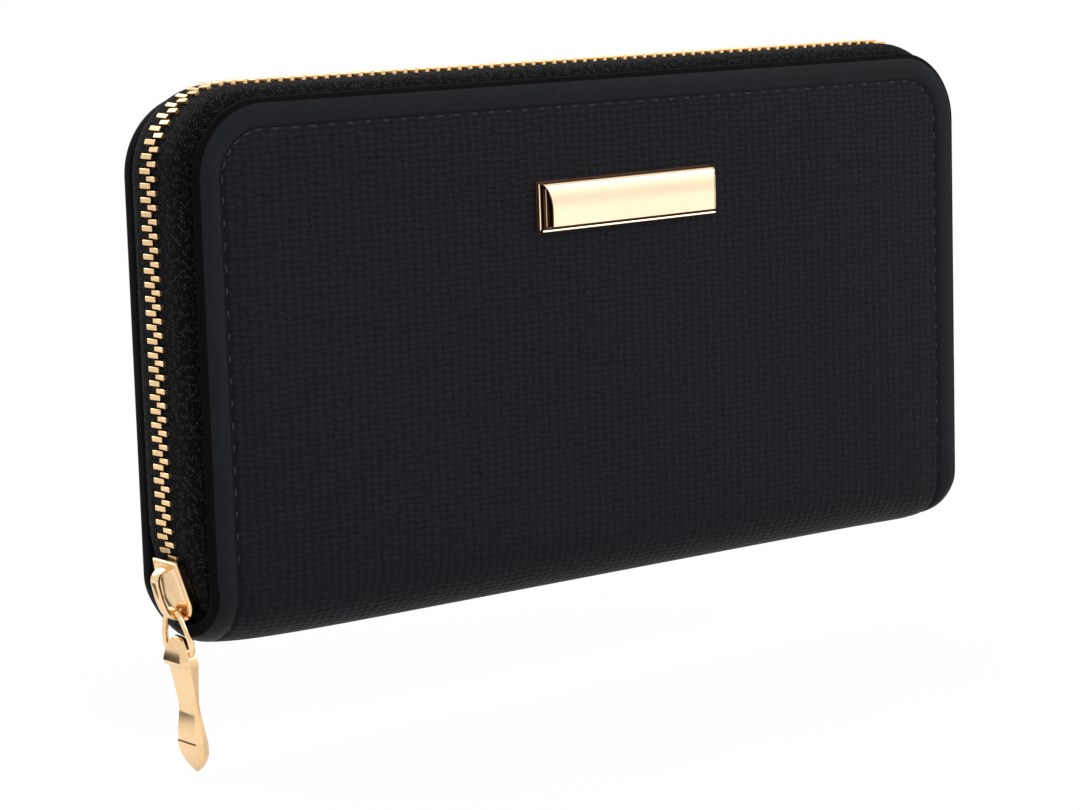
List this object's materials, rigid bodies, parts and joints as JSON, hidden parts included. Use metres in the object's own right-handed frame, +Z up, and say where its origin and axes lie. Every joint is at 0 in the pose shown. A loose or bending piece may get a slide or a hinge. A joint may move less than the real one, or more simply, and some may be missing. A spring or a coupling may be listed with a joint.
{
  "type": "zip around wallet",
  "caption": "Long rectangular wallet with two padded covers joined by a soft spine, closed on three sides by a metal zip with a hanging pull; card slots, note compartments and a zipped coin pocket inside.",
  "frame": {"origin": "centre of the pressed flat under the spine, midway along the width and the thickness", "axes": "+X along the width, toward the zip's opening end; +Y through the thickness, toward the back cover; +Z up, from the spine to the zipped top edge"},
  "size_m": [0.2037, 0.028, 0.1311],
  "materials": {
    "cover_leather": "embossed basket-weave grain, matt black",
    "rim_leather": "smooth, satin black",
    "inside_leather": "smooth, satin black",
    "lining_cloth": "fine twill",
    "tape_cloth": "twill woven tape",
    "board": "matt",
    "tooth_metal": "bright pale gold",
    "gold_metal": "polished pale gold plating",
    "plaque_metal": "polished pale gold plating",
    "plate_steel": "plain"
  },
  "bodies": {
    "back_half": {"back_cover": "cover_leather", "back_board": "board", "back_lining": "lining_cloth", "back_binding": "rim_leather", "back_card_panel": "inside_leather", "back_card_slot_1": "inside_leather", "back_card_slot_2": "inside_leather", "back_card_slot_3": "inside_leather", "back_card_slot_4": "inside_leather", "back_zip_tape": "tape_cloth", "back_zip_teeth": "tooth_metal", "spine_wrap": "cover_leather", "spine_lining": "lining_cloth", "tape_tails": "tape_cloth", "closing_stops": "tooth_metal", "end_stop": "tooth_metal"},
    "coin_pocket": {"coin_wall_front": "inside_leather", "coin_wall_back": "inside_leather", "coin_seam": "lining_cloth", "coin_tape_front": "tape_cloth", "coin_tape_back": "tape_cloth", "coin_teeth_front": "tooth_metal", "coin_teeth_back": "tooth_metal", "coin_end_stop": "tooth_metal", "gusset_front_left": "lining_cloth", "gusset_front_right": "lining_cloth", "gusset_back_left": "lining_cloth", "gusset_back_right": "lining_cloth"},
    "front_half": {"front_cover": "cover_leather", "front_board": "board", "front_lining": "lining_cloth", "front_binding": "rim_leather", "front_card_panel": "inside_leather", "front_card_slot_1": "inside_leather", "front_card_slot_2": "inside_leather", "front_card_slot_3": "inside_leather", "front_card_slot_4": "inside_leather", "front_zip_tape": "tape_cloth", "front_zip_teeth": "tooth_metal", "plaque": "plaque_metal", "plaque_back_plate": "plate_steel"},
    "slider": {"slider_body": "gold_metal", "slider_bridge": "gold_metal"},
    "pull_link": {"pull_link": "gold_metal"},
    "pull_tab": {"pull_tab": "gold_metal"},
    "coin_slider": {"coin_slider_body": "gold_metal", "coin_slider_bridge": "gold_metal"},
    "coin_pull": {"coin_pull": "gold_metal"}
  },
  "joints": [
    {"name": "coin_leaf_fold", "type": "hinge", "parent": "back_half", "child": "coin_pocket", "pos_m": [0, 0, 0.0127], "axis": [1, 0, 0], "range_deg": [0, 32], "deforming": ["spine_wrap", "spine_lining", "gusset_back_left", "gusset_back_right"]},
    {"name": "front_fold", "type": "hinge", "parent": "coin_pocket", "child": "front_half", "pos_m": [0, 0, 0.0127], "axis": [1, 0, 0], "range_deg": [0, 32], "deforming": ["gusset_front_left", "gusset_front_right", "front_zip_tape", "front_zip_teeth", "back_zip_tape", "back_zip_teeth", "tape_tails", "closing_stops"]},
    {"name": "slider_slide", "type": "slide", "parent": "back_half", "child": "slider", "axis": [-0.0473, 0, 0.9989], "range_m": [0, 0.06]},
    {"name": "link_swing", "type": "hinge", "parent": "slider", "child": "pull_link", "pos_m": [-0.09937, 0, 0.00785], "axis": [0, 1, 0], "range_deg": [0, 130]},
    {"name": "tab_swing", "type": "hinge", "parent": "pull_link", "child": "pull_tab", "pos_m": [-0.09806, 0, -0.00045], "axis": [0, 1, 0], "range_deg": [-12, 75]},
    {"name": "coin_slider_slide", "type": "slide", "parent": "coin_pocket", "child": "coin_slider", "axis": [1, 0, 0], "range_m": [0, 0.14], "deforming": ["coin_teeth_front", "coin_teeth_back"]},
    {"name": "coin_pull_swing", "type": "hinge", "parent": "coin_slider", "child": "coin_pull", "pos_m": [-0.07211, 0, 0.08903], "axis": [0, 1, 0], "range_deg": [0, 170]}
  ],
  "couplings": [
    {"joint": "coin_leaf_fold", "follows": "front_fold", "ratio": 1}
  ]
}
